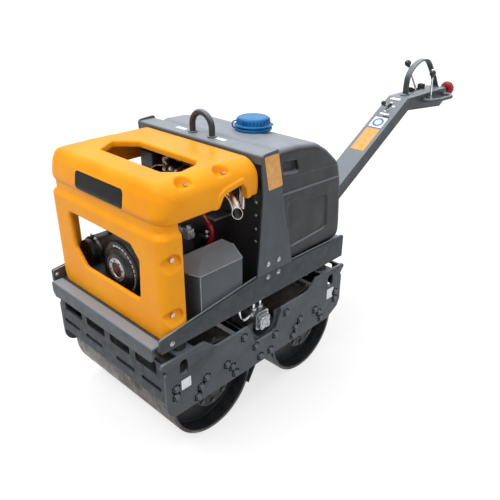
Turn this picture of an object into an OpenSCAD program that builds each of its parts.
// Walk-behind vibratory roller with two steel drums
// The front faces -Y, the steering arm points to +Y, and the ground is Z = 0
// All lengths are in millimetres

/* [Drums] */
// Radius of each drum
drum_r = 200; // [190:2:208]
// Width of each drum
drum_w = 650; // [600:10:700]
// Distance between the two drum axles
wheelbase = 536; // [524:4:560]
// Wall of the drum shell
drum_wall = 14; // [10:1:18]
// How far the end discs sit in from the edge of the drum
drum_recess = 62; // [58:1:72]
// Thickness of the end discs
drum_disc_t = 12; // [8:1:16]
// Radius of the drum hubs
hub_r = 90; // [86:1:98]
// Radius of the bolt circle on the hubs
hub_bolt_circle = 74; // [70:1:76]
// Radius of the stub axles
stub_r = 35; // [30:1:38]
// Outer radius of the drum bearings
bearing_r = 46; // [44:1:52]
// Width of the drum bearings
bearing_w = 30; // [22:1:34]
// Radius of the bolt circle that holds a stub axle to its side plate
stub_bolt_circle = 98; // [94:1:102]
// Radius of the travel motors inside the drums
drive_motor_r = 40; // [34:1:42]
// Length of the travel motors
drive_motor_len = 118; // [90:2:150]

/* [Drum frame] */
// Thickness of the side plates
plate_t = 12; // [8:1:16]
// Gap between the edge of a drum and its side plate
plate_gap = 10; // [8:1:14]
// How far the side plates reach past the drums
end_reach = 37; // [32:1:46]
// Height of the side plates from bottom edge to hump
plate_h = 247; // [238:1:260]
// How far the bottom edge of the plates lies below the axles
plate_drop = 7; // [4:1:12]
// Width of the lashing holes
lash_w = 36; // [30:1:40]
// Height of the lashing holes
lash_h = 60; // [50:1:66]
// Thickness of the cross plates
cross_t = 10; // [6:1:14]
// Height of the cross plates
cross_h = 172; // [166:1:176]
// Height of a slot in the cross plates
slot_h = 17; // [12:1:22]
// Height of a window in the cross plates
window_h = 50; // [40:1:54]
// Width of the posts between the windows
cross_post = 36; // [30:1:44]
// Thickness of the scraper bars
scraper_t = 8; // [6:1:10]
// Gap between a scraper and its drum
scraper_gap = 1.5; // [1:0.5:3]
// Radius of the rubber mounts
rubber_r = 30; // [24:1:34]
// Height of the rubber mounts
rubber_h = 52; // [46:1:60]
// Reach of the mount brackets in from the side plates
bracket_reach = 82; // [76:1:90]
// Thickness of the mount brackets
bracket_t = 8; // [6:1:12]

/* [Exciter] */
// Radius of the exciter housing
exciter_r = 75; // [70:1:80]
// Wall of the exciter housing
exciter_wall = 12; // [8:1:14]
// Length of the motor bay at the right end of the exciter
motor_bay = 92; // [84:1:100]
// Radius of the exciter shaft
exciter_shaft_r = 17.5; // [14:0.5:20]
// Radius of the eccentric weight
weight_r = 57; // [48:1:58]
// Length of the eccentric weight
weight_len = 300; // [240:5:330]
// Radius of the hydraulic vibration motor
motor_r = 36; // [32:1:40]
// Radius of the hydraulic pipes
pipe_r = 8; // [6:0.5:10]

/* [Upper frame] */
// Thickness of the deck
deck_t = 8; // [6:1:12]
// Thickness of the side rails
rail_t = 8; // [6:1:10]
// Height of the rails at the front tip
rail_tip_h = 50; // [44:1:60]
// Height of the rails at the posts
rail_mid_h = 106; // [98:1:112]
// Height of the rails at the rear
rail_rear_h = 98; // [90:1:104]
// How far the front channel reaches past the side plates
channel_reach = 29; // [24:1:40]
// Height of the front channel
channel_h = 58; // [50:1:64]
// Thickness of the front channel
channel_t = 8; // [5:1:10]
// Thickness of the posts
post_t = 8; // [6:1:12]
// Width of the posts at the foot
post_w = 210; // [190:2:230]
// Height of the top bridge above the deck
bridge_h = 560; // [556:1:568]
// Depth of the top bridge from front to back
bridge_d = 82; // [76:1:88]
// Sheet thickness of the top bridge
bridge_t = 6; // [4:1:8]
// Radius of the round bar of the lifting eye
eye_bar_r = 12; // [10:1:16]
// Inside half width of the lifting eye
eye_half = 43; // [34:1:50]
// Height of the lifting eye above the bridge
eye_h = 98; // [84:1:120]
// Thickness of the bulkhead
bulkhead_t = 6; // [3:1:8]

/* [Covers] */
// How far the front guard sits behind the front channel
guard_setback = 57; // [50:1:66]
// Depth of the guard's side returns
guard_return = 92; // [84:1:110]
// Wall of the front guard
guard_wall = 30; // [20:1:32]
// Corner radius of the front guard
guard_corner_r = 52; // [40:1:58]
// Step in the guard below the hood
guard_step = 8; // [5:1:12]
// Wall of the top hood
hood_wall = 25; // [18:1:30]
// Height of the top hood
hood_h = 122; // [116:1:126]
// Overhang of the hood past the guard
hood_overhang = 13; // [8:1:16]
// Corner radius of the top hood
hood_corner_r = 60; // [45:1:68]
// Width of the grey side box
box_w = 165; // [150:1:170]
// Length of the side box
box_len = 225; // [200:5:240]
// Height of the side box at its outer edge
box_h = 202; // [180:2:210]

/* [Water tank] */
// Length of the water tank
tank_len = 429; // [415:1:436]
// Rounding of the tank's sides
tank_round = 26; // [18:1:34]
// Depth of the recesses in the tank
tank_recess = 8; // [5:1:12]
// Radius of the filler neck
neck_r = 57; // [52:1:60]
// Height of the filler neck above its seat
neck_h = 27; // [22:1:32]
// Wall of the filler neck
neck_wall = 5; // [4:0.5:6]
// Depth of the strainer cup
strainer_depth = 132; // [100:4:150]
// Wall of the strainer cup
strainer_wall = 3; // [2:0.5:4]
// Radius of the cap's base flange
cap_flange_r = 75; // [70:1:82]
// Wall of the cap
cap_wall = 4; // [3:0.5:6]
// Height of the cap
cap_h = 50; // [46:1:56]
// Radius of the spray pipes
spray_r = 8; // [6:1:10]

/* [Engine] */
// Width of the crankcase
case_w = 220; // [190:5:240]
// Length of the crankcase
case_len = 200; // [180:5:210]
// Height of the crankcase
case_h = 220; // [210:5:230]
// Height of the crankshaft above the deck
crank_h = 140; // [138:1:146]
// Radius of the crankshaft
crank_r = 17.5; // [14:0.5:20]
// Radius of the fan shroud
shroud_r = 132; // [124:1:136]
// Depth of the fan shroud
shroud_d = 50; // [44:1:56]
// Sheet thickness of the fan shroud
shroud_t = 3; // [2:0.5:4]
// Radius of the flywheel
flywheel_r = 112; // [100:1:116]
// Radius of the recoil starter
recoil_r = 98; // [90:1:106]
// Depth of the recoil starter
recoil_d = 42; // [34:1:44]
// Radius of the cylinder barrel
barrel_r = 56; // [48:1:60]
// Half width of a cooling fin
fin_half = 74; // [66:1:78]
// Height of the finned cylinder and head
barrel_h = 140; // [128:2:150]
// Height of the rocker cover
rocker_h = 46; // [38:1:50]
// Radius of the air filter
filter_r = 58; // [50:1:62]
// Length of the air filter
filter_len = 180; // [150:5:190]
// Radius of the muffler
muffler_r = 50; // [44:1:54]
// Length of the muffler
muffler_len = 170; // [150:5:190]
// Radius of the tailpipe
tail_r = 19.5; // [16:0.5:22]
// Radius of the hydraulic pump
pump_r = 46; // [40:1:52]

/* [Steering arm] */
// Half width of the steering arm
arm_half = 59; // [54:1:64]
// Sheet thickness of the steering arm
arm_t = 5; // [4:0.5:6]
// Depth of the arm's section
arm_d = 66; // [58:1:72]
// Angle of the arm above level
arm_angle = 30.6; // [26:0.2:34]
// Length of the sloping part of the arm
arm_len = 986; // [900:4:1050]
// Height of the head's sides
head_h = 88; // [80:1:96]
// How far the arm's pivot lies behind the side plates
pivot_reach = 95; // [88:1:104]
// Radius of the pivot pin
pin_r = 12; // [10:0.5:14]
// Thickness of the clevis ears
ear_t = 12; // [8:1:14]
// Width of the flat bar of the guard hoop
hoop_w = 32; // [24:1:38]
// Thickness of the guard hoop
hoop_t = 9; // [6:1:11]
// Height of the guard hoop
hoop_h = 178; // [160:2:190]
// Span of the guard hoop at its feet
hoop_span = 352; // [330:2:370]
// Length of the head in front of the hoop
head_front = 60; // [50:1:70]
// Radius of the grip bars
grip_r = 11; // [9:1:13]
// Reach of the grip bars out from the head
grip_reach = 68; // [58:1:80]
// Radius of the lever rods
rod_r = 5.5; // [4:0.5:6]
// Radius of the lever balls
ball_r = 18; // [15:1:20]
// Length of the travel lever above the head
travel_lever_len = 207; // [190:1:220]
// Lean of the travel lever towards the front
travel_lean = 39; // [34:1:42]
// Length of the vibration lever
vibration_lever_len = 138; // [124:2:160]
// Lean of the vibration lever towards the front
vibration_lean = 6; // [0:1:10]
// Length of the throttle lever from its pin
throttle_lever_len = 93; // [86:1:104]
// Lean of the throttle lever towards the front
throttle_lean = 50; // [46:1:52]
// Radius of the stop button
stop_r = 42; // [34:1:48]
// Travel of the stop button
stop_travel = 12; // [8:1:14]
// How far the stop button stands behind the head
stop_reach = 138; // [126:2:150]

/* [Hidden] */

// Overrun of every cut past its faces
over = 1;
// Running clearance of shafts and pins in their bores
fit = 0.05;
// Clearance between moving parts that face each other
play = 0.3;
// Steps in a rounded corner
corner_steps = 5;
// Sides of a bent bar
bar_sides = 12;
// Facets of the turned parts
$fn = 48;

// Places that follow from the sizes
axle_z = drum_r;
half_base = wheelbase / 2;
plate_half = half_base + drum_r + end_reach;
plate_in = drum_w / 2 + plate_gap;
plate_out = plate_in + plate_t;
plate_low = axle_z - plate_drop;
plate_top = plate_low + plate_h;
deck_low = plate_top + rubber_h;
deck_top = deck_low + deck_t;
rail_out = plate_out - plate_t / 6;
rail_in = rail_out - rail_t;
cover_half = rail_in - rail_t / 4;
channel_y = -(plate_half + channel_reach);
guard_y = channel_y + guard_setback;
bulkhead_y = -10;
bridge_top = deck_top + bridge_h;
bridge_y = -37;
guard_h = bridge_h - hood_h - bridge_t * 2.2;
hood_low = deck_top + guard_h;
hood_half = cover_half + hood_overhang / 4;
hood_rear = bridge_y - bridge_t;
tank_low = deck_low + rail_rear_h - deck_t - play;
tank_y = bridge_y + bridge_d + bridge_t;
tank_top = bridge_top - bridge_t * 0.4;
tank_h = tank_top - tank_low;
crank_z = deck_top + crank_h;
engine_y = (guard_y + bulkhead_y) / 2;
pivot_y = plate_half + pivot_reach;
pivot_z = deck_low - rail_rear_h * 0.38;

// The arm's bend, its head and the stop button
bend_y = pivot_y + arm_len * cos(arm_angle);
bend_z = pivot_z + arm_len * sin(arm_angle) + arm_d / 2;
hoop_y = bend_y + head_front;
head_rear = hoop_y + hoop_span + hoop_t * 2;
head_len = head_rear - bend_y;
head_mid_z = bend_z - head_h * 0.36;
stop_face_y = head_rear + stop_reach + stop_r * 0.45;
mid_y = (channel_y + stop_face_y) / 2;

// Side plate outline: shares of half length and height, and corner radius as a share of height
plate_end_shares = [
  [0.63, 1, 0.16], [1.015, 1, 0.04], [1.03, 0.94, 0.03], [0.98, 0.83, 0.02], [1, 0.78, 0.03]
];
plate_cut_shares = [[0.113, 0.43, 0.11], [0.19, 0.82, 0.06], [0.535, 0.82, 0.16]];
plate_front_corner_share = 0.2;
plate_rear_corner_shares = [[1, 0.28, 0.06], [0.97, 0.15, 0.08], [0.83, 0, 0.08]];
// Bolts round the cut-out and at the plate's ends, as shares of half length and height
cut_bolt_shares = [[0.244, 0.676], [0.115, 0.372]];
scraper_bolt_share = [0.06, 0.117];
end_bolt_shares = [[0.917, 0.49], [0.917, 0.35]];
exciter_share = 0.717;
exciter_z = plate_low + plate_h * exciter_share;
// Flange of the exciter behind the side plate
flange_shares = [[0.285, 0.8, 0.05], [0.285, 0.62, 0.05], [0.15, 0.3, 0.06]];
// Angles of the stub axle bolts above the axle
stub_bolt_angles = [12, 35, 58, 122, 145, 168];
lash_share = [0.836, 0.79];
rail_tip_share = 0.02;
hub_bolts = 8;
drum_gap = 2;
stub_flange_t = plate_gap - drum_gap;
hub_inset = 7;
bolt_r = 11;
bolt_h = 7;
washer_h = 2;
dome_r = 13;
dome_h = 7;
screw_r = 8;
screw_h = 4;

// Post outline: shares of foot width and height, and corner radius as a share of foot width
post_shares = [
  [-0.29, 0, 0.07], [0.71, 0, 0.07], [0.657, 0.09, 0.1], [0.357, 0.64, 0.5], [0.233, 0.95, 0.1],
  [0.214, 1, 0.06], [-0.186, 0.99, 0.07], [-0.152, 0.69, 0.6], [-0.262, 0.1, 0.1]
];
post_bolt_shares = [[0, 0.04], [0.28, 0.04], [0, 0.145], [0.28, 0.145]];
post_low = deck_low + rail_rear_h * 0.7;
post_h = bridge_top + post_t * 1.3 - post_low;
bulkhead_bolt_shares = [0.39, 0.48, 0.58, 0.67];

// Window in the guard: shares of half width and height, corner radius as a share of half width
guard_window_shares = [
  [-0.62, 0.741, 0.05], [0.448, 0.741, 0.06], [0.618, 0.64, 0.05],
  [0.588, 0.301, 0.05], [-0.412, 0.301, 0.08], [-0.555, 0.428, 0.08]
];
guard_pocket_shares = [[0.53, 0.71], [0.41, 0.235]];
pocket_r = 24;
pocket_d = 12;
// Opening in the hood: shares of half width and length from the front
hood_opening_shares = [
  [-0.53, 0.355], [-0.4, 0.29], [0.46, 0.29], [0.6, 0.39],
  [0.6, 0.63], [0.51, 0.7], [-0.4, 0.7], [-0.76, 0.52]
];
// Notch for the tailpipe: shares of hood length from the front and of hood height
hood_notch_shares = [
  [0.575, -0.1, 0.01], [0.575, 0.04, 0.02], [0.62, 0.3, 0.03], [0.65, 0.36, 0.03],
  [0.82, 0.46, 0.04], [0.87, 0.33, 0.03], [0.88, -0.1, 0.01]
];
hood_pocket_shares = [0.33, 0.69];
notch_lip = 7;

// Tank outline: shares of length and height, and corner radius as a share of length
tank_shares = [
  [0, 0, 0.05], [1, 0, 0.1], [1.005, 0.165, 0.1], [0.975, 0.54, 0.3], [0.93, 0.72, 0.2],
  [0.74, 0.865, 0.2], [0.57, 0.955, 0.3], [0.3, 0.99, 0.2], [0.08, 0.996, 0.05], [0, 0.97, 0.05]
];
tank_band_shares = [[-0.1, 0.633], [-0.1, 0.762], [1.1, 0.684], [1.1, 0.588]];
tank_panel_shares = [
  [0.175, 0.5, 0.03], [0.215, 0.54, 0.03], [0.73, 0.475, 0.03], [0.75, 0.43, 0.03],
  [0.765, 0.165, 0.05], [0.24, 0.14, 0.03], [0.225, 0.17, 0.03]
];
tank_grip_shares = [
  [0.08, 0.895, 0.02], [0.28, 0.873, 0.02], [0.325, 0.77, 0.03], [0.1, 0.795, 0.02]
];
cap_x = 60;
cap_y = tank_y + tank_len * 0.4;
cap_seat_z = tank_top - tank_h * 0.01;
cap_ribs = 16;

// Guard hoop: shares of span and height
hoop_shares = [
  [0, 0, 0], [-0.1, 0.57, 0.3], [0.12, 1, 0.45], [0.6, 1, 0.45], [0.9, 0.52, 0.3], [1, 0, 0]
];

function unit(v) = v / norm(v);

// One rounded corner at c between its neighbours p and n
function corner(p, c, n, r) =
  let (
    a = unit(p - c),
    b = unit(n - c),
    half = acos(max(-0.9999, min(0.9999, a * b))) / 2,
    room = min(norm(p - c), norm(n - c)) * 0.48,
    rr = min(r, room * tan(half))
  )
  (rr <= 0 || half > 89)
    ? [c]
    : let (
        mid = c + unit(a + b) * rr / sin(half),
        from = c + a * rr / tan(half) - mid,
        to = c + b * rr / tan(half) - mid,
        s = atan2(from.y, from.x),
        turn = atan2(to.y, to.x) - s,
        d = turn > 180 ? turn - 360 : turn < -180 ? turn + 360 : turn
      )
      [for (k = [0:corner_steps]) mid + rr * [cos(s + d * k / corner_steps), sin(s + d * k / corner_steps)]];

// Closed outline from corners written [u, v, radius]
function rounded(pts) =
  let (m = len(pts))
  [for (i = [0:m - 1])
    let (p = pts[(i + m - 1) % m], c = pts[i], n = pts[(i + 1) % m])
    each corner([p.x, p.y], [c.x, c.y], [n.x, n.y], c[2])];

// Open path with rounded inner corners
function rounded_path(pts) =
  let (m = len(pts))
  [for (i = [0:m - 1])
    each (i == 0 || i == m - 1)
      ? [[pts[i].x, pts[i].y]]
      : corner([pts[i - 1].x, pts[i - 1].y], [pts[i].x, pts[i].y], [pts[i + 1].x, pts[i + 1].y], pts[i][2])];

// Corners from a table of shares: origin, the two sizes, and the size that the radii follow
function spread(shares, o, w, h, rsize) =
  [for (s = shares) [o.x + s[0] * w, o.y + s[1] * h, (len(s) > 2 ? s[2] : 0) * rsize]];

// Rectangle with rounded corners, given by its limits
function box_pts(u0, u1, v0, v1, r) = rounded([[u0, v0, r], [u1, v0, r], [u1, v1, r], [u0, v1, r]]);

// Normal of a path at point i
function path_normal(p, i) =
  let (d = unit(p[min(i + 1, len(p) - 1)] - p[max(i - 1, 0)])) [-d.y, d.x];

// Flat band of thickness t along a path
function band(p, t) = concat(
  [for (i = [0:len(p) - 1]) p[i] + path_normal(p, i) * t / 2],
  [for (i = [len(p) - 1:-1:0]) p[i] - path_normal(p, i) * t / 2]
);

// The machine's own places put in the part's frame
module machine() translate([0, -mid_y, 0]) children();

module both_sides() {
  children();
  mirror([1, 0, 0]) children();
}

module both_ends() {
  children();
  mirror([0, 1, 0]) children();
}

// An outline in Y and Z, drawn out along X
module along_x(x0, x1) translate([x0, 0, 0]) rotate([90, 0, 90]) linear_extrude(x1 - x0) children();

// An outline in X and Z, drawn out along Y
module along_y(y0, y1) translate([0, y1, 0]) rotate([90, 0, 0]) linear_extrude(y1 - y0) children();

// An outline in X and Y, drawn out along Z
module along_z(z0, z1) translate([0, 0, z0]) linear_extrude(z1 - z0) children();

// A round bar along X, Y or Z
module bar_x(x0, x1, y, z, r) translate([x0, y, z]) rotate([0, 90, 0]) cylinder(r = r, h = x1 - x0);
module bar_y(x, y0, y1, z, r) translate([x, y1, z]) rotate([90, 0, 0]) cylinder(r = r, h = y1 - y0);
module bar_z(x, y, z0, z1, r) translate([x, y, z0]) cylinder(r = r, h = z1 - z0);

// A round bar between two points
module rod(p, q, r) {
  v = q - p;
  translate(p) rotate([0, acos(v.z / norm(v)), atan2(v.y, v.x)]) cylinder(r = r, h = norm(v));
}

// A bent round bar in the XY plane, swept along corners written [x, y, radius]
module bent_bar(corners, r) {
  path = rounded_path(corners);
  m = len(path);
  points = [for (i = [0:m - 1], a = [0:bar_sides - 1])
    let (n = path_normal(path, i), t = a * 360 / bar_sides)
    [path[i].x + r * cos(t) * n.x, path[i].y + r * cos(t) * n.y, r * sin(t)]];
  function at(i, a) = i * bar_sides + a % bar_sides;
  walls = [for (i = [0:m - 2], a = [0:bar_sides - 1])
    each [[at(i, a), at(i, a + 1), at(i + 1, a + 1)], [at(i, a), at(i + 1, a + 1), at(i + 1, a)]]];
  ends = [[for (a = [bar_sides - 1:-1:0]) at(0, a)], [for (a = [0:bar_sides - 1]) at(m - 1, a)]];
  polyhedron(points, concat(walls, ends));
}

// A hexagon bolt head on a washer, standing out along +X from face x
module bolt_head(x, y, z) {
  bar_x(x, x + washer_h, y, z, bolt_r * 1.3);
  translate([x + washer_h, y, z]) rotate([0, 90, 0]) cylinder(r = bolt_r, h = bolt_h, $fn = 6);
}

// A domed bolt head along +X
module dome_head(x, y, z) translate([x, y, z]) rotate([0, 90, 0]) rotate_extrude()
  polygon([[0, 0], [dome_r, 0], [dome_r, dome_h * 0.35], [dome_r * 0.75, dome_h * 0.8],
           [dome_r * 0.4, dome_h], [0, dome_h]]);

// Bolt places on a side plate, in Y and Z
function stub_bolts(y) =
  [for (a = stub_bolt_angles) [y + stub_bolt_circle * cos(a), axle_z + stub_bolt_circle * sin(a)]];
function plate_places(shares) =
  [for (s = shares, e = [-1, 1]) [e * s[0] * plate_half, plate_low + s[1] * plate_h]];
scraper_places = plate_places([scraper_bolt_share]);
exciter_places = plate_places(cut_bolt_shares);
end_places = plate_places(end_bolt_shares);

// Drum frame
plate_outline = let (o = [0, plate_low]) concat(
  [[-plate_half, plate_low, plate_front_corner_share * plate_h]],
  spread([for (i = [2:-1:0]) plate_rear_corner_shares[i]], o, plate_half, plate_h, plate_h),
  spread([for (i = [4:-1:0]) plate_end_shares[i]], o, plate_half, plate_h, plate_h),
  spread([for (i = [2:-1:0]) plate_cut_shares[i]], o, plate_half, plate_h, plate_h),
  spread(plate_cut_shares, o, -plate_half, plate_h, plate_h),
  spread(plate_end_shares, o, -plate_half, plate_h, plate_h)
);

module lashing_hole(y) along_x(plate_in - over, plate_out + over)
  polygon(box_pts(y - lash_w / 2, y + lash_w / 2, plate_low + lash_share[1] * plate_h - lash_h / 2,
                  plate_low + lash_share[1] * plate_h + lash_h / 2, lash_w / 2.05));

module side_plate() {
  mount_y = plate_half * 0.8;
  difference() {
    along_x(plate_in, plate_out) polygon(rounded(plate_outline));
    both_ends() lashing_hole(lash_share[0] * plate_half);
  }
  both_ends() along_z(plate_top - bracket_t, plate_top)
    polygon(box_pts(plate_in - bracket_reach, plate_in, mount_y - rubber_r * 1.3, mount_y + rubber_r * 1.3, 0));
}
module side_plate_right() color("#50585f") machine() side_plate();
module side_plate_left() color("#50585f") machine() mirror([1, 0, 0]) side_plate();

// Cross plate with four low slots and a row of windows
module cross_plate() {
  low = plate_low + plate_h * 0.29;
  top = low + cross_h;
  slot_mid = low + cross_h * 0.3;
  window_top = top - cross_h * 0.07;
  pitch = (plate_in - cross_post / 2) / 2;
  difference() {
    along_y(-plate_half, -plate_half + cross_t) polygon(box_pts(-plate_in, plate_in, low, top, 0));
    both_sides() for (k = [0, 1]) {
      u = cross_post / 2 + k * pitch;
      along_y(-plate_half - over, -plate_half + cross_t + over)
        polygon(box_pts(u, u + pitch - cross_post, window_top - window_h, window_top, window_h * 0.14));
      along_y(-plate_half - over, -plate_half + cross_t + over)
        polygon(box_pts(u + cross_post * 0.8, u + pitch - cross_post * 0.4, slot_mid - slot_h / 2,
                        slot_mid + slot_h / 2, slot_h * 0.48));
    }
  }
}
module front_cross_plate() color("#50585f") machine() cross_plate();
module rear_cross_plate() color("#50585f") machine() mirror([0, 1, 0]) cross_plate();

// Drums, hubs, bearings and axles, drawn about the axle's middle
disc_out = drum_w / 2 - drum_recess;
module drum() {
  rotate([0, 90, 0]) difference() {
    cylinder(r = drum_r, h = drum_w, center = true, $fn = 96);
    cylinder(r = drum_r - drum_wall, h = drum_w + 2 * over, center = true, $fn = 96);
  }
  both_sides() difference() {
    bar_x(disc_out - drum_disc_t, disc_out, 0, 0, drum_r - drum_wall / 2);
    bar_x(disc_out - drum_disc_t - over, disc_out + over, 0, 0, bearing_r);
  }
}
module hubs() {
  face = drum_w / 2 - hub_inset;
  both_sides() {
    difference() {
      bar_x(disc_out, face, 0, 0, hub_r);
      bar_x(disc_out - over, face + over, 0, 0, bearing_r);
    }
    for (a = [1:hub_bolts]) rotate([a * 360 / hub_bolts, 0, 0])
      translate([face, hub_bolt_circle, 0]) rotate([0, 90, 0]) cylinder(r = bolt_r, h = hub_inset - drum_gap, $fn = 6);
  }
}
module bearings() both_sides() difference() {
  bar_x(disc_out + drum_gap, disc_out + drum_gap + bearing_w, 0, 0, bearing_r);
  bar_x(disc_out, disc_out + bearing_w + drum_gap * 2, 0, 0, stub_r + fit);
}
module stub_axles() both_sides() {
  bar_x(disc_out, plate_in, 0, 0, stub_r);
  intersection() {
    bar_x(plate_in - stub_flange_t, plate_in, 0, 0, stub_bolt_circle + bolt_r * 1.3);
    along_x(plate_in - stub_flange_t, plate_in)
      polygon(box_pts(-drum_r, drum_r, -plate_drop, drum_r, 0));
  }
}
module at_axle(e) machine() translate([0, e * half_base, axle_z]) children();
module front_drum() color("#8d8478") at_axle(-1) drum();
module rear_drum() color("#8d8478") at_axle(1) drum();
module front_hubs() color("#2b2b2c") at_axle(-1) hubs();
module rear_hubs() color("#2b2b2c") at_axle(1) hubs();
module front_bearings() color("silver") at_axle(-1) bearings();
module rear_bearings() color("silver") at_axle(1) bearings();
module front_stub_axles() color("#3a3d40") at_axle(-1) stub_axles();
module rear_stub_axles() color("#3a3d40") at_axle(1) stub_axles();
module drive_motors() color("#3a3d40") for (e = [-1, 1]) at_axle(e) {
  bar_x(-disc_out, -disc_out + drive_motor_len, 0, 0, drive_motor_r);
  bar_x(-disc_out + drive_motor_len, -disc_out + drive_motor_len * 1.2, 0, 0, drive_motor_r * 0.5);
}

// Blades that scrape the drums' inner sides, hung from the lower plate bolts
module inner_scraper() {
  top = [scraper_places[0].x * 0.9, scraper_places[0].y];
  tip_r = drum_r + scraper_gap;
  tip = [-half_base + tip_r * cos(-26), axle_z + tip_r * sin(-26)];
  side = unit([top.y - tip.y, tip.x - top.x]) * scraper_t;
  along_x(-plate_in, plate_in) polygon([top, tip, tip + side * 0.4, top + side]);
}
module inner_scrapers() color("#2f3235") machine() both_ends() inner_scraper();
module outer_scrapers() color("#2f3235") machine() both_ends() {
  blade_z = end_places[3].y - plate_h * 0.12;
  reach = sqrt((drum_r + scraper_gap) * (drum_r + scraper_gap) - (blade_z - axle_z) * (blade_z - axle_z));
  along_x(-plate_in, plate_in) polygon([
    [-plate_half + cross_t, blade_z + scraper_t * 4], [-plate_half + cross_t, blade_z],
    [-half_base - reach, blade_z], [-half_base - reach, blade_z + scraper_t * 0.5],
    [-plate_half + cross_t + scraper_t, blade_z + scraper_t], [-plate_half + cross_t + scraper_t, blade_z + scraper_t * 4]
  ]);
}
module plate_bolts() color("#9aa0a5") machine() both_sides() {
  for (e = [-1, 1], p = stub_bolts(e * half_base)) bolt_head(plate_out, p.x, p.y);
  for (p = concat(exciter_places, scraper_places, end_places)) bolt_head(plate_out, p.x, p.y);
}
module rubber_mounts() color("#1c1c1c") machine() both_sides() both_ends()
  translate([plate_in - bracket_reach * 0.5, plate_half * 0.8, plate_top]) rotate_extrude()
    polygon([[0, 0], [rubber_r, 0], [rubber_r, rubber_h * 0.12], [rubber_r * 0.84, rubber_h * 0.3],
             [rubber_r * 0.84, rubber_h * 0.7], [rubber_r, rubber_h * 0.88], [rubber_r, rubber_h], [0, rubber_h]]);

// Exciter across the middle of the drum frame
flange_x = plate_in - stub_flange_t;
bay_x = flange_x - motor_bay;
module exciter_housing() color("#44494e") machine() {
  flange = let (o = [0, plate_low]) concat(
    spread(flange_shares, o, plate_half, plate_h, plate_h),
    spread([for (i = [2:-1:0]) flange_shares[i]], o, -plate_half, plate_h, plate_h)
  );
  inner = exciter_r - exciter_wall;
  difference() {
    union() {
      both_sides() along_x(flange_x, plate_in) polygon(rounded(flange));
      bar_x(-flange_x, bay_x, 0, exciter_z, exciter_r);
      intersection() {
        bar_x(bay_x, flange_x, 0, exciter_z, exciter_r);
        along_x(bay_x, flange_x) polygon(box_pts(-exciter_r, exciter_r, exciter_z - exciter_r - over, exciter_z - motor_r * 0.4, 0));
      }
    }
    bar_x(-flange_x + exciter_wall, bay_x - exciter_wall, 0, exciter_z, inner);
    bar_x(bay_x - exciter_wall - over, bay_x + over, 0, exciter_z, exciter_shaft_r * 1.3);
    bar_x(bay_x, plate_in + over, 0, exciter_z, inner);
  }
}
bearing_left_x = -flange_x + exciter_wall;
bearing_right_x = bay_x - exciter_wall - bearing_w;
module exciter_bearings() color("silver") machine() for (x = [bearing_left_x, bearing_right_x]) difference() {
  bar_x(x, x + bearing_w, 0, exciter_z, exciter_r - exciter_wall);
  bar_x(x - over, x + bearing_w + over, 0, exciter_z, exciter_shaft_r + fit);
}
module exciter_shaft() color("#85898c") machine() {
  mid = (bearing_left_x + bearing_right_x + bearing_w) / 2;
  bar_x(bearing_left_x + play, bay_x + motor_bay * 0.2, 0, exciter_z, exciter_shaft_r);
  intersection() {
    bar_x(mid - weight_len / 2, mid + weight_len / 2, 0, exciter_z, weight_r);
    along_x(mid - weight_len / 2, mid + weight_len / 2)
      polygon(box_pts(-weight_r, weight_r, exciter_z - weight_r - over, exciter_z, 0));
  }
}
// Gear motor in the bay: a round nose, a square body and an end cover
module vibration_motor() color("#b9bdc0") machine() {
  x0 = bay_x;
  body = motor_bay * 0.25;
  difference() {
    union() {
      bar_x(x0, x0 + body, 0, exciter_z, motor_r);
      along_x(x0 + body, flange_x) polygon(box_pts(-motor_r, motor_r, exciter_z - motor_r * 0.95, exciter_z + motor_r * 1.25, motor_r * 0.4));
      along_x(flange_x, plate_in) polygon(box_pts(-motor_r * 0.8, motor_r * 0.8, exciter_z - motor_r * 0.8, exciter_z + motor_r, motor_r * 0.3));
      for (e = [-1, 1]) bar_z(flange_x - motor_bay * 0.35, e * motor_r * 0.5, exciter_z + motor_r, exciter_z + motor_r * 1.45, pipe_r * 1.5);
    }
    bar_x(x0 - over, x0 + motor_bay * 0.2 + play, 0, exciter_z, exciter_shaft_r + fit);
  }
}
module hydraulic_pipes() color("#b9bdc0") machine() for (e = [-1, 1]) {
  z0 = exciter_z + motor_r * 1.45;
  gap = deck_low - z0;
  translate([flange_x - motor_bay * 0.35, 0, 0]) rotate([90, 0, 90]) bent_bar([
    [e * motor_r * 0.5, z0, 0], [e * motor_r * 0.5, z0 + gap * 0.4, pipe_r * 3],
    [e * motor_r * 1.2, z0 + gap * 0.65, pipe_r * 3], [e * motor_r * 1.2, deck_low, 0]], pipe_r);
}

// Upper frame
rail_front_y = -(plate_half + plate_half * rail_tip_share);
rail_rear_y = plate_half * 0.962;
rear_plate_y = rail_rear_y - rail_t;
hose_x = -drum_w * 0.31;
module deck() color("#464d53") machine() {
  support_y = tank_y + tank_len * 0.03;
  difference() {
    along_z(deck_low, deck_top) polygon(box_pts(-rail_in, rail_in, rail_front_y, rear_plate_y, 0));
    bar_z(hose_x, half_base, deck_low - over, deck_top + over, spray_r * 1.5);
  }
  along_x(-cover_half * 0.9, cover_half * 0.9) polygon([
    [support_y, deck_top], [support_y + deck_t, deck_top], [support_y + deck_t, tank_low - deck_t],
    [support_y + deck_t * 8, tank_low - deck_t], [support_y + deck_t * 8, tank_low], [support_y, tank_low]
  ]);
}
module rail() along_x(rail_in, rail_out) polygon(rounded([
  [rail_front_y, deck_low, rail_tip_h * 0.2], [rail_rear_y, deck_low, 0], [rail_rear_y, deck_low + rail_rear_h, 0],
  [-post_w * 0.24, deck_low + rail_mid_h, post_w], [rail_front_y, deck_low + rail_tip_h, rail_tip_h * 0.2]
]));
module rail_right() color("#50585f") machine() rail();
module rail_left() color("#50585f") machine() mirror([1, 0, 0]) rail();
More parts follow.
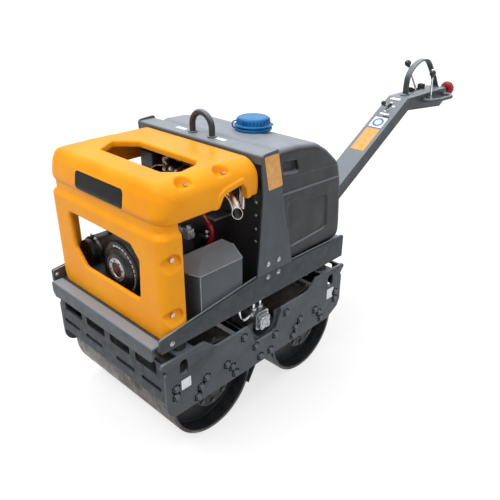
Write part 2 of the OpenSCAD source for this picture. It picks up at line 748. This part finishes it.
module front_channel() color("#50585f") machine() {
  half = drum_w / 2;
  top = deck_top + channel_t;
  back = channel_y + channel_reach + plate_half * 0.03;
  intersection() {
    along_x(-half, half) polygon(rounded([
      [channel_y, top - channel_h, 0], [channel_y, top, channel_t], [back, top, 0], [back, deck_top, 0],
      [channel_y + channel_t, deck_top, channel_t * 0.3], [channel_y + channel_t, top - channel_h, 0]
    ]));
    along_y(channel_y - over, back + over)
      polygon(rounded([[-half, top - channel_h, channel_h * 0.35], [half, top - channel_h, channel_h * 0.35],
                       [half, top, channel_h * 0.12], [-half, top, channel_h * 0.12]]));
  }
}
ear_x = arm_half + play * 2;
module rear_cross_member() color("#50585f") machine() {
  along_y(rear_plate_y, rail_rear_y) polygon(box_pts(-rail_in, rail_in, deck_low, tank_low, 0));
  along_z(tank_low - deck_t, tank_low) polygon(box_pts(-rail_in, rail_in, rear_plate_y - rail_rear_h * 0.5, rear_plate_y, 0));
  difference() {
    both_sides() along_x(ear_x, ear_x + ear_t) polygon(rounded([
      [rail_rear_y, tank_low - deck_t, 0], [rail_rear_y, plate_top + play * 10, 0],
      [plate_half * 1.04, plate_top + play * 10, pin_r], [pivot_y - pin_r * 1.5, pivot_z - pin_r * 2.6, pin_r * 2],
      [pivot_y + pin_r * 2.6, pivot_z - pin_r * 2.6, pin_r * 2.5], [pivot_y + pin_r * 2.6, pivot_z + pin_r * 2.6, pin_r * 2.5]
    ]));
    bar_x(-ear_x - ear_t - over, ear_x + ear_t + over, pivot_y, pivot_z, pin_r + fit);
  }
}
module post() along_x(rail_out, rail_out + post_t)
  polygon(rounded(spread(post_shares, [0, post_low], post_w, post_h, post_w)));
module post_right() color("#50585f") machine() post();
module post_left() color("#50585f") machine() mirror([1, 0, 0]) post();
module top_bridge() color("#4b5157") machine() {
  y0 = bridge_y;
  y1 = bridge_y + bridge_d;
  t = bridge_t;
  lip = bridge_d * 0.4;
  along_x(-rail_out, rail_out) polygon(rounded([
    [y0, bridge_top - lip, 0], [y0, bridge_top, t * 1.4], [y1, bridge_top, t * 1.4], [y1, bridge_top - lip * 0.7, 0],
    [y1 - t, bridge_top - lip * 0.7, 0], [y1 - t, bridge_top - t, t * 0.4], [y0 + t, bridge_top - t, t * 0.4], [y0 + t, bridge_top - lip, 0]
  ]));
}
eye_y = bridge_y + bridge_d * 0.5;
module lifting_eye() color("#5b6167") machine() {
  mid_r = eye_half + eye_bar_r;
  arc_z = bridge_top + eye_h - mid_r - eye_bar_r;
  both_sides() {
    bar_z(mid_r, eye_y, bridge_top, arc_z, eye_bar_r);
    bar_z(mid_r, eye_y, bridge_top, bridge_top + bridge_t, eye_bar_r * 1.5);
  }
  translate([0, eye_y, arc_z]) rotate([90, 0, 0]) rotate_extrude(angle = 180) translate([mid_r, 0]) circle(r = eye_bar_r);
}
bulkhead_front = bulkhead_y - bulkhead_t;
module bulkhead() color("#1b1c1d") machine() {
  flange_d = bridge_d * 0.25;
  along_z(deck_top, bridge_top - bridge_t) polygon(box_pts(-cover_half, cover_half, bulkhead_front, bulkhead_y, 0));
  both_sides() along_z(deck_top, deck_top + bridge_h * 0.7)
    polygon(box_pts(cover_half - bulkhead_t, cover_half, bulkhead_y, bulkhead_y + flange_d, 0));
}
module frame_bolts() color("#b4b8bb") machine() both_sides() {
  for (s = post_bolt_shares) dome_head(rail_out + post_t, s[0] * post_w, post_low + s[1] * post_h);
  dome_head(rail_out, rail_front_y + rail_tip_h * 0.9, deck_low + rail_tip_h * 0.5);
  for (s = bulkhead_bolt_shares) translate([cover_half - post_t * 4, bulkhead_front, deck_top + s * bridge_h])
    rotate([0, 0, -90]) dome_head(0, 0, 0);
}

// Moulded covers
guard_rear = guard_y + guard_return;
function guard_plan(d) = rounded([
  [-cover_half + d, guard_rear, 0], [-cover_half + d, guard_y + d, max(guard_corner_r - d, over)],
  [cover_half - d, guard_y + d, max(guard_corner_r - d, over)], [cover_half - d, guard_rear, 0],
  [cover_half - guard_wall, guard_rear, 0], [cover_half - guard_wall, guard_y + guard_wall, max(guard_corner_r - guard_wall, over)],
  [-cover_half + guard_wall, guard_y + guard_wall, max(guard_corner_r - guard_wall, over)], [-cover_half + guard_wall, guard_rear, 0]
]);
module guard_pockets(r, d) both_sides() for (s = guard_pocket_shares)
  bar_x(cover_half - d, cover_half + over, guard_y + s[0] * guard_return, deck_top + s[1] * guard_h, r);
module front_guard() color("#fbb02a") machine() difference() {
  union() {
    along_z(deck_top, deck_top + guard_h * 0.88) polygon(guard_plan(0));
    along_z(deck_top + guard_h * 0.88, hood_low) polygon(guard_plan(guard_step));
  }
  along_y(guard_y - over, guard_y + guard_wall + over)
    polygon(rounded(spread(guard_window_shares, [0, deck_top], cover_half, guard_h, cover_half)));
  guard_pockets(pocket_r, pocket_d);
}
hood_front = guard_y - hood_overhang;
hood_len = hood_rear - hood_front;
// The hood's outer form less d all round: where its side, front and plan outlines meet
module hood_form(d, low) {
  r = hood_corner_r - d * 0.6;
  half = hood_half - d;
  y0 = hood_front + d;
  y1 = d > 0 ? hood_rear + over : hood_rear;
  z0 = hood_low - low;
  z1 = hood_low + hood_h - d;
  intersection() {
    along_x(-half, half) polygon(rounded([
      [y0, z0, 0], [y0 + hood_h * 0.08, hood_low + hood_h * 0.45, r], [y0 + hood_h * 0.16, z1 - hood_h * 0.05, r * 1.2],
      [y0 + hood_h * 1.2, z1, r * 2], [y1, z1, 0], [y1, z0, 0]
    ]));
    along_y(y0, y1) polygon(rounded([
      [-half, z0, 0], [half, z0, 0], [half - hood_h * 0.03, hood_low + hood_h * 0.5, r], [half - hood_h * 0.1, z1, r],
      [-half + hood_h * 0.1, z1, r], [-half + hood_h * 0.03, hood_low + hood_h * 0.5, r]
    ]));
    along_z(z0, z1) polygon(rounded([[-half, y1, 0], [-half, y0, r], [half, y0, r], [half, y1, 0]]));
  }
}
// Shallow dish in the hood's top
module hood_dish() {
  z0 = hood_low + hood_h * 0.89;
  z1 = hood_low + hood_h + over;
  intersection() {
    along_x(-hood_half, hood_half) polygon([
      [hood_front + hood_len * 0.2, z0], [hood_front + hood_len * 0.84, z0],
      [hood_front + hood_len * 0.95, z1], [hood_front + hood_len * 0.12, z1]
    ]);
    along_y(hood_front, hood_rear) polygon([
      [-hood_half * 0.74, z0], [hood_half * 0.74, z0], [hood_half * 0.84, z1], [-hood_half * 0.84, z1]
    ]);
  }
}
module hood_notch(x0, x1, d) along_x(x0, x1) polygon([
  for (p = rounded(spread(hood_notch_shares, [hood_front, hood_low], hood_len, hood_h, hood_len))) p + [0, d]
]);
module top_hood() color("#fbb02a") machine() difference() {
  union() {
    hood_form(0, 0);
    intersection() {
      hood_notch(hood_half - hood_wall, hood_half + notch_lip * 0.5, notch_lip);
      along_z(hood_low, hood_low + hood_h) polygon(box_pts(0, hood_half + notch_lip, hood_front, hood_rear, 0));
    }
  }
  hood_form(hood_wall, over);
  hood_notch(hood_half - hood_wall * 2.6, hood_half + notch_lip + over, -over);
  along_z(hood_low + hood_h * 0.5, hood_low + hood_h + over)
    polygon(rounded(spread([for (s = hood_opening_shares) [s[0], s[1], 0.04]], [0, hood_front], hood_half, hood_len, hood_half)));
  hood_dish();
  both_sides() for (s = hood_pocket_shares)
    bar_z(hood_half * 0.9, hood_front + s * hood_len, hood_low + hood_h * 0.84, hood_low + hood_h + over, pocket_r);
}
module hood_screws() color("silver") machine() {
  both_sides() for (s = guard_pocket_shares)
    bar_x(cover_half - pocket_d, cover_half - pocket_d + screw_h, guard_y + s[0] * guard_return, deck_top + s[1] * guard_h, screw_r);
  both_sides() for (s = hood_pocket_shares)
    bar_z(hood_half * 0.9, hood_front + s * hood_len, hood_low + hood_h * 0.84, hood_low + hood_h * 0.84 + screw_h, screw_r);
}
box_front = guard_y + guard_return + guard_wall * 1.5;
module side_box() color("#757c84") machine() intersection() {
  x0 = cover_half - box_w;
  y1 = box_front + box_len;
  cut = box_w * 0.24;
  along_y(box_front, y1) polygon([
    [x0, deck_top], [cover_half, deck_top], [cover_half, deck_top + box_h * 0.96],
    [cover_half - cut * 0.2, deck_top + box_h], [x0, deck_top + box_h * 1.22]
  ]);
  along_z(deck_top, deck_top + box_h * 1.3) polygon([
    [x0, box_front], [cover_half - cut * 0.6, box_front], [cover_half, box_front + cut],
    [cover_half, y1 - cut], [cover_half - cut, y1], [x0, y1]
  ]);
}

// Water tank: one hull, then cut
module tank_profile(d) polygon([for (p = rounded(spread(tank_shares, [tank_y, tank_low], tank_len, tank_h, tank_len)))
  let (c = [tank_y + tank_len / 2, tank_low + tank_h / 2])
  c + [(p.x - c.x) * (1 - 2 * d / tank_len), (p.y - c.y) * (1 - 2 * d / tank_h)]]);
module water_tank() color("#4b4e54") machine() difference() {
  union() {
    difference() {
      hull() {
        along_x(-cover_half + tank_round, cover_half - tank_round) tank_profile(0);
        along_x(-cover_half + tank_round * 0.3, cover_half - tank_round * 0.3) tank_profile(tank_round * 0.3);
        along_x(-cover_half, cover_half) tank_profile(tank_round);
      }
      bar_z(cap_x, cap_y, cap_seat_z, tank_top + over, cap_flange_r * 1.08);
    }
    along_z(tank_low, tank_low + tank_h * 0.2)
      polygon(box_pts(-cover_half + tank_round, cover_half - tank_round, tank_y, tank_y + tank_len * 0.98, 0));
    bar_z(cap_x, cap_y, cap_seat_z - tank_h * 0.1, cap_seat_z, cap_flange_r * 1.02);
    bar_z(cap_x, cap_y, cap_seat_z - tank_h * 0.1, cap_seat_z + neck_h, neck_r);
  }
  bar_z(cap_x, cap_y, cap_seat_z + neck_h - strainer_depth * 1.2, cap_seat_z + neck_h + over, neck_r - neck_wall);
  both_sides() along_x(cover_half - tank_recess, cover_half + over)
    polygon([for (p = spread(tank_band_shares, [tank_y, tank_low], tank_len, tank_h, 0)) [p.x, p.y]]);
  both_sides() along_x(cover_half - tank_recess * 0.8, cover_half + over)
    polygon(rounded(spread(tank_panel_shares, [tank_y, tank_low], tank_len, tank_h, tank_len)));
  both_sides() along_x(cover_half - tank_recess * 2.5, cover_half + over)
    polygon(rounded(spread(tank_grip_shares, [tank_y, tank_low], tank_len, tank_h, tank_len)));
}
module filler_strainer() color("#d8d8d4") machine() {
  top = cap_seat_z + neck_h;
  cup_r = neck_r - neck_wall - play;
  difference() {
    union() {
      bar_z(cap_x, cap_y, top, top + strainer_wall, neck_r - play);
      bar_z(cap_x, cap_y, top - strainer_depth, top + strainer_wall, cup_r);
    }
    bar_z(cap_x, cap_y, top - strainer_depth + strainer_wall, top + strainer_wall + over, cup_r - strainer_wall);
  }
}
module tank_cap() color("#1482d2") machine() {
  z0 = cap_seat_z + play;
  body_r = neck_r + fit + cap_wall;
  difference() {
    union() {
      bar_z(cap_x, cap_y, z0, z0 + cap_h * 0.16, cap_flange_r);
      translate([cap_x, cap_y, z0]) rotate_extrude() polygon([
        [0, 0], [body_r * 1.04, 0], [body_r, cap_h * 0.75], [body_r * 0.97, cap_h * 0.93], [body_r * 0.9, cap_h], [0, cap_h]
      ]);
      for (a = [1:cap_ribs]) translate([cap_x, cap_y, z0]) rotate([0, 0, a * 360 / cap_ribs])
        translate([body_r, 0, 0]) cylinder(r = cap_wall * 0.7, h = cap_h * 0.7, $fn = 16);
    }
    bar_z(cap_x, cap_y, z0 - over, cap_seat_z + neck_h + strainer_wall + play, neck_r + fit);
    bar_z(cap_x, cap_y, z0 - over, z0 + cap_h - cap_wall, neck_r - neck_wall);
  }
}
// Two spray pipes over the drums, fed from the tank through risers and a cross pipe
module spray_bars() color("#202224") machine() {
  z = axle_z + drum_r + spray_r * 2.6;
  run_z = deck_low - spray_r * 4;
  riser_r = spray_r * 0.85;
  for (e = [-1, 1]) bar_x(-plate_in, plate_in, e * half_base, z, spray_r);
  bar_z(hose_x, half_base, z, tank_low, riser_r);
  bar_z(hose_x, -half_base, z, run_z + riser_r * 1.5, riser_r);
  bar_y(hose_x, -half_base, half_base, run_z, riser_r * 0.85);
}

// Engine and pump
case_front = engine_y - case_len / 2;
case_rear = engine_y + case_len / 2;
module crankcase() color("#2a2b2d") machine() difference() {
  union() {
    along_y(case_front, case_rear) polygon(rounded([
      [-case_w / 2, deck_top + case_h * 0.1, case_w * 0.1], [case_w / 2, deck_top + case_h * 0.1, case_w * 0.1],
      [case_w / 2, crank_z, case_w * 0.2], [fin_half, deck_top + case_h, 0], [-fin_half, deck_top + case_h, 0],
      [-case_w / 2, crank_z, case_w * 0.2]
    ]));
    for (e = [-1, 1]) along_z(deck_top, deck_top + case_h * 0.12)
      polygon(box_pts(-case_w * 0.55, case_w * 0.55, engine_y + e * case_len * 0.36 - case_len * 0.08,
                      engine_y + e * case_len * 0.36 + case_len * 0.08, case_len * 0.03));
  }
  bar_y(0, case_front - over, case_rear + over, crank_z, crank_r + fit);
}
module crankshaft() color("#9a9da0") machine()
  bar_y(0, case_front - shroud_d * 0.8, case_rear + pump_r * 0.9, crank_z, crank_r);
module flywheel() color("#3c3f42") machine() difference() {
  union() {
    bar_y(0, case_front - shroud_d * 0.7, case_front - shroud_d * 0.3, crank_z, flywheel_r);
    bar_y(0, case_front - shroud_d * 0.9, case_front - shroud_d * 0.2, crank_z, crank_r * 2);
  }
  bar_y(0, case_front - shroud_d, case_front, crank_z, crank_r);
}
module fan_shroud() color("#1d1d1f") machine() difference() {
  bar_y(0, case_front - shroud_d, case_front, crank_z, shroud_r);
  bar_y(0, case_front - shroud_d - over, case_front - shroud_t, crank_z, shroud_r - shroud_t);
  bar_y(0, case_front - shroud_t - over, case_front + over, crank_z, crank_r * 3);
}
module recoil_starter() color("#17181a") machine() {
  y1 = case_front - shroud_d;
  difference() {
    union() {
      bar_y(0, y1 - shroud_t, y1, crank_z, shroud_r);
      translate([0, y1 - shroud_t, crank_z]) rotate([90, 0, 0]) rotate_extrude() polygon([
        [0, 0], [recoil_r, 0], [recoil_r, recoil_d * 0.45], [recoil_r * 0.9, recoil_d * 0.62],
        [recoil_r * 0.45, recoil_d * 0.8], [recoil_r * 0.42, recoil_d], [0, recoil_d]
      ]);
    }
    for (a = [1:10]) translate([0, 0, crank_z]) rotate([0, a * 36, 0])
      along_y(y1 - recoil_d, y1 + over) polygon(box_pts(-recoil_r * 0.05, recoil_r * 0.05, recoil_r * 0.55, recoil_r * 0.82, recoil_r * 0.04));
  }
}
fins = 8;
module cylinder_fins() {
  z0 = deck_top + case_h;
  step = barrel_h / fins;
  for (k = [0:fins - 1]) along_z(z0 + k * step + step * 0.4, z0 + k * step + step * 0.8)
    polygon(box_pts(-fin_half, fin_half, engine_y - fin_half, engine_y + fin_half, fin_half * 0.3));
}
module cylinder_node() color("#a9acae") machine() {
  z0 = deck_top + case_h;
  bar_z(0, engine_y, z0, z0 + barrel_h, barrel_r);
  cylinder_fins();
}
module rocker_cover() color("#8c8f91") machine() {
  z0 = deck_top + case_h + barrel_h;
  along_z(z0, z0 + rocker_h * 0.2) polygon(box_pts(-fin_half * 0.95, fin_half * 0.95, engine_y - fin_half * 0.8, engine_y + fin_half * 0.8, fin_half * 0.2));
  along_z(z0 + rocker_h * 0.2, z0 + rocker_h) polygon(box_pts(-fin_half * 0.8, fin_half * 0.8, engine_y - fin_half * 0.65, engine_y + fin_half * 0.65, fin_half * 0.25));
}
filter_x = -cover_half * 0.66;
module air_filter() color("#141415") machine() {
  z = deck_top + crank_h * 1.25;
  y0 = guard_y + guard_wall * 2;
  bar_y(filter_x, y0, y0 + filter_len * 0.14, z, filter_r * 0.92);
  bar_y(filter_x, y0 + filter_len * 0.14, y0 + filter_len, z, filter_r);
  bar_x(filter_x, -case_w / 2, y0 + filter_len * 0.75, crank_z - filter_r * 0.5, filter_r * 0.5);
  bar_z(filter_x, y0 + filter_len * 0.5, deck_top, z, filter_r * 0.2);
}
tail_y = bulkhead_front - tail_r * 4.7;
tail_z = hood_low + tail_r * 0.5;
module muffler() color("#8e8e8c") machine() {
  x0 = fin_half * 0.1;
  x1 = x0 + muffler_len;
  z = tail_z - tail_r;
  port_x = fin_half * 0.4;
  port_z = deck_top + case_h + barrel_h * 0.85;
  pipe_x = cover_half - tail_r * 2.6;
  bar_x(x0, x1, tail_y, z, muffler_r);
  bar_x(x1 - over, pipe_x, tail_y, z + tail_r * 0.6, tail_r);
  translate([pipe_x, tail_y, z + tail_r * 0.6]) sphere(r = tail_r * 1.05);
  difference() {
    rod([pipe_x, tail_y, z + tail_r * 0.6], [pipe_x + tail_r * 0.8, tail_y, z - tail_r * 2.6], tail_r);
    rod([pipe_x + tail_r * 0.4, tail_y, z - tail_r], [pipe_x + tail_r * 0.85, tail_y, z - tail_r * 2.8], tail_r * 0.88);
  }
  bar_y(port_x, engine_y + fin_half, tail_y, port_z, tail_r * 0.8);
  bar_z(port_x, tail_y, port_z - tail_r * 0.9, z, tail_r * 0.9);
}
module hydraulic_pump() color("#55595d") machine() {
  y0 = case_rear;
  y1 = bulkhead_front;
  difference() {
    union() {
      bar_y(0, y0, y0 + (y1 - y0) * 0.3, crank_z, pump_r * 1.5);
      bar_y(0, y0 + (y1 - y0) * 0.3, y1, crank_z, pump_r);
    }
    bar_y(0, y0 - over, y0 + pump_r * 0.9 + play, crank_z, crank_r + fit);
  }
  for (e = [-1, 1]) bar_x(e > 0 ? 0 : -pump_r * 1.3, e > 0 ? pump_r * 1.3 : 0, y1 - pump_r * 0.7, crank_z + pump_r * 0.5, pipe_r * 1.6);
}

// Steering arm: a folded channel open below, with a level head
arm_dir = [cos(arm_angle), sin(arm_angle)];
arm_up = [-sin(arm_angle), cos(arm_angle)];
function arm_pt(s, u) = [pivot_y, pivot_z] + arm_dir * s + arm_up * u;
arm_low_bend = arm_pt(arm_len * 0.99, -arm_d / 2);
module arm_outline(d) {
  a = arm_pt(-arm_d * 0.42, -arm_d / 2);
  b = arm_pt(-arm_d * 0.42, arm_d / 2 - d);
  polygon(rounded([
    [a.x - (d > 0 ? over : 0), a.y - (d > 0 ? over : 0), d > 0 ? 0 : arm_d * 0.3],
    [b.x, b.y, d > 0 ? 0 : arm_d * 0.3],
    [bend_y + (d - arm_d / 2) * tan(arm_angle / 2), bend_z - d, arm_d * 0.25],
    [head_rear - d, bend_z - d, d > 0 ? 0 : head_h * 0.1],
    [head_rear - d, bend_z - head_h * 0.74, d > 0 ? 0 : head_h * 0.06],
    [head_rear - head_h * 0.62, bend_z - head_h * 1.13 - (d > 0 ? over : 0), 0],
    [arm_low_bend.x, arm_low_bend.y - (d > 0 ? over : 0), arm_d * 0.3]
  ]));
}
travel_x = -hoop_w / 2 - ball_r - rod_r * 0.4;
travel_foot_y = bend_y + head_len * 0.568;
travel_drop = head_h * 0.5;
travel_y = travel_foot_y + travel_drop * tan(travel_lean);
travel_z = bend_z - travel_drop;
vibration_y = bend_y + head_len * 0.526;
vibration_z = bend_z - head_h * 0.33;
throttle_x = -arm_half * 0.17;
throttle_s = arm_len * 0.918;
lever_slot = rod_r * 2.4;
module steering_arm() color("#555a60") machine() {
  throttle = arm_pt(throttle_s, 0);
  difference() {
    union() {
      difference() {
        along_x(-arm_half, arm_half) arm_outline(0);
        along_x(-arm_half + arm_t, arm_half - arm_t) arm_outline(arm_t);
      }
      bar_x(-arm_half, arm_half, pivot_y, pivot_z, pin_r * 1.8);
      bar_x(arm_half - arm_t, arm_half + lever_slot * 0.4, vibration_y, vibration_z, rod_r * 2);
    }
    bar_x(-arm_half - over, arm_half + over, pivot_y, pivot_z, pin_r + fit);
    bar_x(arm_half - arm_t - over, arm_half + lever_slot, vibration_y, vibration_z, rod_r + fit);
    along_z(bend_z - arm_t - over, bend_z + over)
      polygon(box_pts(travel_x - lever_slot, travel_x + lever_slot, travel_foot_y - head_len * 0.07, travel_foot_y + head_len * 0.07, lever_slot * 0.9));
    translate([throttle_x, throttle.x, throttle.y]) rotate([arm_angle, 0, 0])
      along_z(arm_d / 2 - arm_t - over, arm_d / 2 + over)
        polygon(box_pts(-lever_slot * 0.8, lever_slot * 0.8, -arm_d * 0.32, arm_d * 0.5, lever_slot * 0.7));
  }
  for (p = [[travel_x, travel_y, travel_z], [throttle_x, throttle.x, throttle.y]]) {
    bar_x(-arm_half + arm_t, p.x - lever_slot, p.y, p.z, rod_r);
    bar_x(p.x - lever_slot, p.x + lever_slot, p.y, p.z, rod_r * 0.8);
    bar_x(p.x + lever_slot, arm_half - arm_t, p.y, p.z, rod_r);
  }
}
module pivot_pin() color("#a5a8ab") machine() {
  bar_x(-ear_x - ear_t - washer_h, ear_x + ear_t + washer_h, pivot_y, pivot_z, pin_r);
  both_sides() bar_x(ear_x + ear_t, ear_x + ear_t + pin_r * 0.5, pivot_y, pivot_z, pin_r * 1.5);
}
module guard_hoop() color("#50555a") machine() {
  pts = [for (p = spread(hoop_shares, [hoop_y, bend_z], hoop_span, hoop_h - hoop_t / 2, hoop_h)) p];
  intersection() {
    along_x(-hoop_w / 2, hoop_w / 2) polygon(band(rounded_path(pts), hoop_t));
    along_x(-hoop_w, hoop_w) polygon(box_pts(hoop_y - hoop_span, head_rear + hoop_span, bend_z, bend_z + hoop_h * 2, 0));
  }
  for (e = [0, 1]) along_z(bend_z, bend_z + hoop_t * 0.6)
    polygon(box_pts(-hoop_w / 2, hoop_w / 2, hoop_y + e * hoop_span - hoop_t * (1 + e), hoop_y + e * hoop_span + hoop_t * (2 - e), 0));
}
module grip_bars() color("#5a5f64") machine() both_sides() {
  y0 = bend_y + head_len * 0.41;
  y1 = head_rear - head_h * 0.26;
  z = bend_z - head_h * 0.4;
  translate([0, 0, z]) bent_bar([
    [arm_half, y0, 0], [arm_half + grip_reach * 0.55, y0, grip_reach * 0.5],
    [arm_half + grip_reach * 0.9, y0 + grip_reach, grip_reach * 0.5], [arm_half + grip_reach, y1 - grip_reach * 0.6, grip_reach * 0.4],
    [arm_half + grip_reach * 0.6, y1, grip_reach * 0.4], [arm_half, y1, 0]
  ], grip_r);
}
// A lever with a bored boss, turning on a pin inside the arm
module fork_lever(p, lean, length, knob_r) {
  tip = p + length * [0, -sin(lean), cos(lean)];
  difference() {
    union() {
      bar_x(p.x - lever_slot * 0.8, p.x + lever_slot * 0.8, p.y, p.z, rod_r * 1.8);
      rod(p, tip, rod_r);
    }
    bar_x(p.x - lever_slot, p.x + lever_slot, p.y, p.z, rod_r * 0.8 + fit);
  }
  translate(tip) sphere(r = knob_r);
}
module travel_lever() color("silver") machine()
  fork_lever([travel_x, travel_y, travel_z], travel_lean, travel_lever_len + travel_drop / cos(travel_lean), ball_r);
module throttle_lever() color("silver") machine() {
  c = arm_pt(throttle_s, 0);
  fork_lever([throttle_x, c.x, c.y], throttle_lean, throttle_lever_len, ball_r * 0.74);
}
// The vibration lever has its own pin in the side of the head
module vibration_lever() color("silver") machine() {
  p = [arm_half + lever_slot * 0.4 + play + rod_r, vibration_y, vibration_z];
  tip = p + vibration_lever_len * [0, -sin(vibration_lean), cos(vibration_lean)];
  bar_x(arm_half - arm_t, p.x + rod_r, p.y, p.z, rod_r);
  bar_x(arm_half + lever_slot * 0.4 + play, p.x + rod_r, p.y, p.z, rod_r * 1.6);
  rod(p, tip, rod_r);
  translate(tip) sphere(r = ball_r);
}
stop_stem_r = stop_r * 0.3;
stop_tube_end = head_rear + stop_reach * 0.78;
module stop_housing() color("#26282a") machine() difference() {
  union() {
    bar_y(0, head_rear, stop_tube_end, head_mid_z, stop_r * 0.5);
    bar_y(0, head_rear, head_rear + stop_reach * 0.12, head_mid_z, stop_r * 0.68);
  }
  bar_y(0, head_rear + stop_reach * 0.12, stop_tube_end + over, head_mid_z, stop_stem_r + fit);
}
module stop_button() color("#960a0f") machine() {
  y0 = stop_tube_end + stop_travel + play;
  bar_y(0, head_rear + stop_reach * 0.12 + stop_travel + play, y0 + over, head_mid_z, stop_stem_r);
  translate([0, y0, head_mid_z]) rotate([-90, 0, 0]) rotate_extrude() polygon([
    [0, 0], [stop_r * 0.8, 0], [stop_r, (stop_face_y - y0) * 0.3], [stop_r * 0.96, (stop_face_y - y0) * 0.55],
    [stop_r * 0.75, (stop_face_y - y0) * 0.84], [stop_r * 0.4, (stop_face_y - y0) * 0.97], [0, stop_face_y - y0]
  ]);
}

side_plate_right();
side_plate_left();
front_cross_plate();
rear_cross_plate();
front_drum();
rear_drum();
front_hubs();
rear_hubs();
front_bearings();
rear_bearings();
front_stub_axles();
rear_stub_axles();
drive_motors();
inner_scrapers();
outer_scrapers();
plate_bolts();
rubber_mounts();
exciter_housing();
exciter_bearings();
exciter_shaft();
vibration_motor();
hydraulic_pipes();
deck();
rail_right();
rail_left();
front_channel();
rear_cross_member();
post_right();
post_left();
top_bridge();
lifting_eye();
bulkhead();
frame_bolts();
front_guard();
top_hood();
hood_screws();
side_box();
water_tank();
filler_strainer();
tank_cap();
spray_bars();
crankcase();
crankshaft();
flywheel();
fan_shroud();
recoil_starter();
cylinder_node();  // cylinder
rocker_cover();
air_filter();
muffler();
hydraulic_pump();
steering_arm();
pivot_pin();
guard_hoop();
grip_bars();
travel_lever();
vibration_lever();
throttle_lever();
stop_housing();
stop_button();
